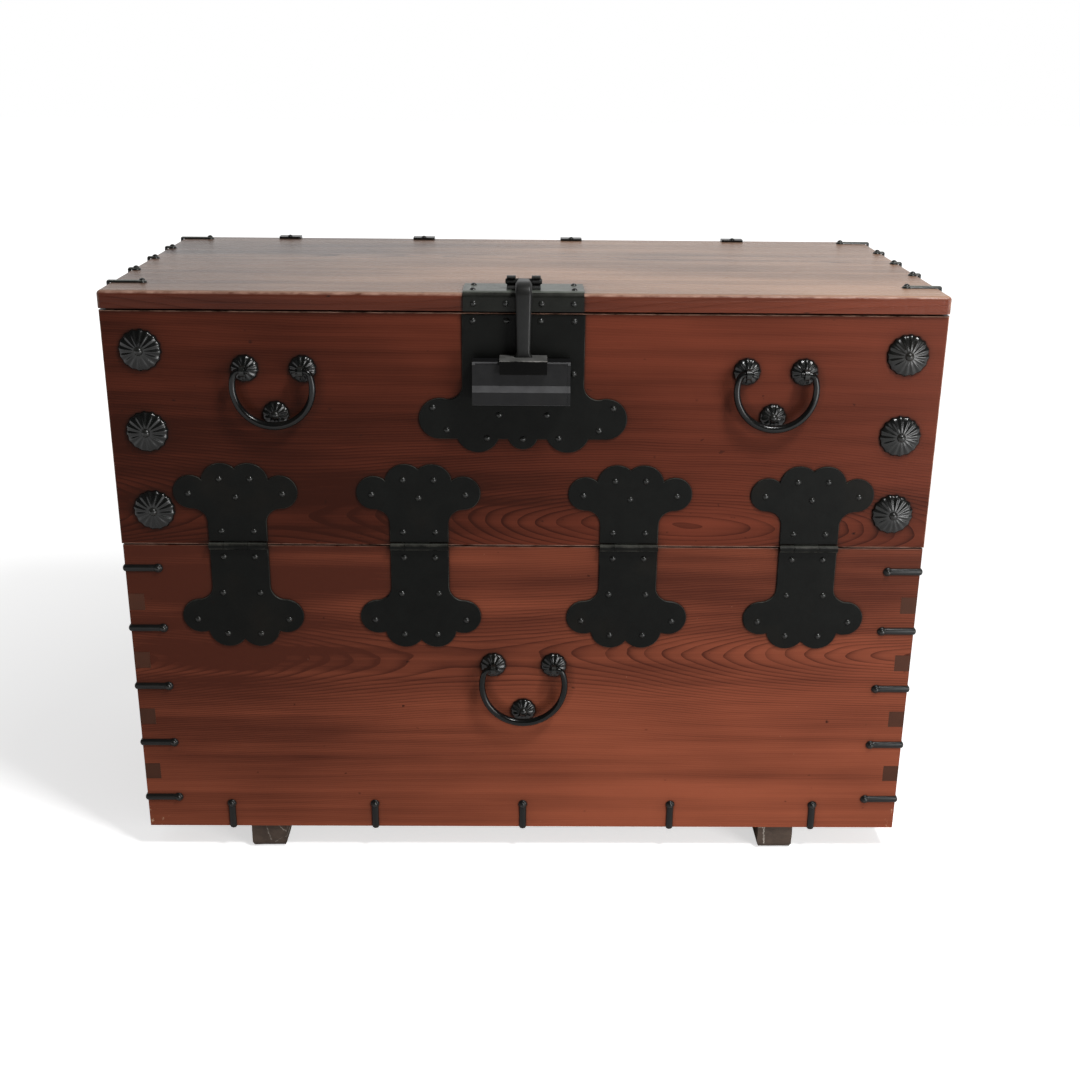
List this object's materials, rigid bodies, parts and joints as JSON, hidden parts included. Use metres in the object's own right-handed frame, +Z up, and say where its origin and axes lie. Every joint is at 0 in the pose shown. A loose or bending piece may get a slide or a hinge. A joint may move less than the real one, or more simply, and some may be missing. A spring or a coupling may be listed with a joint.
{
  "type": "korean bandaji chest",
  "caption": "Wooden blanket chest with a drop-down upper front on iron strap hinges, bail handles, a hasp and a sliding-bolt padlock.",
  "frame": {"origin": "on the floor, under the middle of the closed chest's bounding box", "axes": "+X along the front to the viewer's right, +Y from the front to the back, +Z up"},
  "size_m": [0.9096, 0.4478, 0.6952],
  "materials": {
    "lacquered_wood": "satin lacquer",
    "plain_wood": "bare planed wood",
    "foot_wood": "worn dark wood",
    "sheet_iron": "blackened satin",
    "forged_iron": "blackened, polished by touch",
    "padlock_iron": "smooth satin"
  },
  "bodies": {
    "carcass": {"top_board": "lacquered_wood", "left_side_board": "lacquered_wood", "right_side_board": "lacquered_wood", "lower_front_board": "lacquered_wood", "bottom_board": "plain_wood", "back_plank_lower": "plain_wood", "back_plank_middle": "plain_wood", "back_plank_upper": "plain_wood", "back_plank_nails": "forged_iron", "left_foot_runner": "foot_wood", "right_foot_runner": "foot_wood", "hinge_lower_leaf_1": "sheet_iron", "hinge_lower_leaf_2": "sheet_iron", "hinge_lower_leaf_3": "sheet_iron", "hinge_lower_leaf_4": "sheet_iron", "hinge_pins": "forged_iron", "hinge_lower_nails": "forged_iron", "left_corner_straps": "forged_iron", "right_corner_straps": "forged_iron", "left_top_straps": "forged_iron", "right_top_straps": "forged_iron", "bottom_straps": "forged_iron", "back_straps": "forged_iron", "front_strap_nails": "forged_iron", "side_strap_nails": "forged_iron", "bottom_strap_nails": "forged_iron", "top_strap_nails": "forged_iron", "back_strap_nails": "forged_iron", "top_plate": "sheet_iron", "top_plate_nails": "forged_iron", "hasp_eyes": "forged_iron", "lower_bail_posts": "forged_iron", "lower_bail_rosettes": "forged_iron", "lower_bail_stop": "forged_iron", "lower_stop_nail": "forged_iron"},
    "door": {"door_board": "lacquered_wood", "door_left_batten": "plain_wood", "door_right_batten": "plain_wood", "left_door_bosses": "forged_iron", "right_door_bosses": "forged_iron", "boss_nails": "forged_iron", "hinge_upper_leaf_1": "sheet_iron", "hinge_upper_leaf_2": "sheet_iron", "hinge_upper_leaf_3": "sheet_iron", "hinge_upper_leaf_4": "sheet_iron", "hinge_upper_nails": "forged_iron", "lock_plate": "sheet_iron", "lock_plate_nails": "forged_iron", "lock_staples": "forged_iron", "door_bail_posts": "forged_iron", "door_bail_rosettes": "forged_iron", "door_bail_stop": "forged_iron", "door_stop_nail": "forged_iron", "padlock_body": "padlock_iron", "padlock_key_plate": "padlock_iron"},
    "hasp": {"hasp": "forged_iron"},
    "padlock_bolt": {"padlock_bolt": "padlock_iron"},
    "left_bail": {"left_bail": "forged_iron"},
    "right_bail": {"right_bail": "forged_iron"},
    "lower_bail": {"lower_bail": "forged_iron"}
  },
  "joints": [
    {"name": "door_drop", "type": "hinge", "parent": "carcass", "child": "door", "pos_m": [0, -0.1941, 0.394], "axis": [1, 0, 0], "range_deg": [0, 160]},
    {"name": "hasp_lift", "type": "hinge", "parent": "door", "child": "hasp", "pos_m": [-0.002, -0.1769, 0.689], "axis": [1, 0, 0], "range_deg": [-170, 0]},
    {"name": "bolt_draw", "type": "slide", "parent": "door", "child": "padlock_bolt", "axis": [1, 0, 0], "range_m": [0, 0.065]},
    {"name": "left_bail_swing", "type": "hinge", "parent": "door", "child": "left_bail", "pos_m": [-0.27, -0.2039, 0.5959], "axis": [1, 0, 0], "range_deg": [-165, 0]},
    {"name": "right_bail_swing", "type": "hinge", "parent": "door", "child": "right_bail", "pos_m": [0.27, -0.2039, 0.5959], "axis": [1, 0, 0], "range_deg": [-165, 0]},
    {"name": "lower_bail_swing", "type": "hinge", "parent": "carcass", "child": "lower_bail", "pos_m": [0, -0.2039, 0.2475], "axis": [1, 0, 0], "range_deg": [-165, 0]}
  ]
}
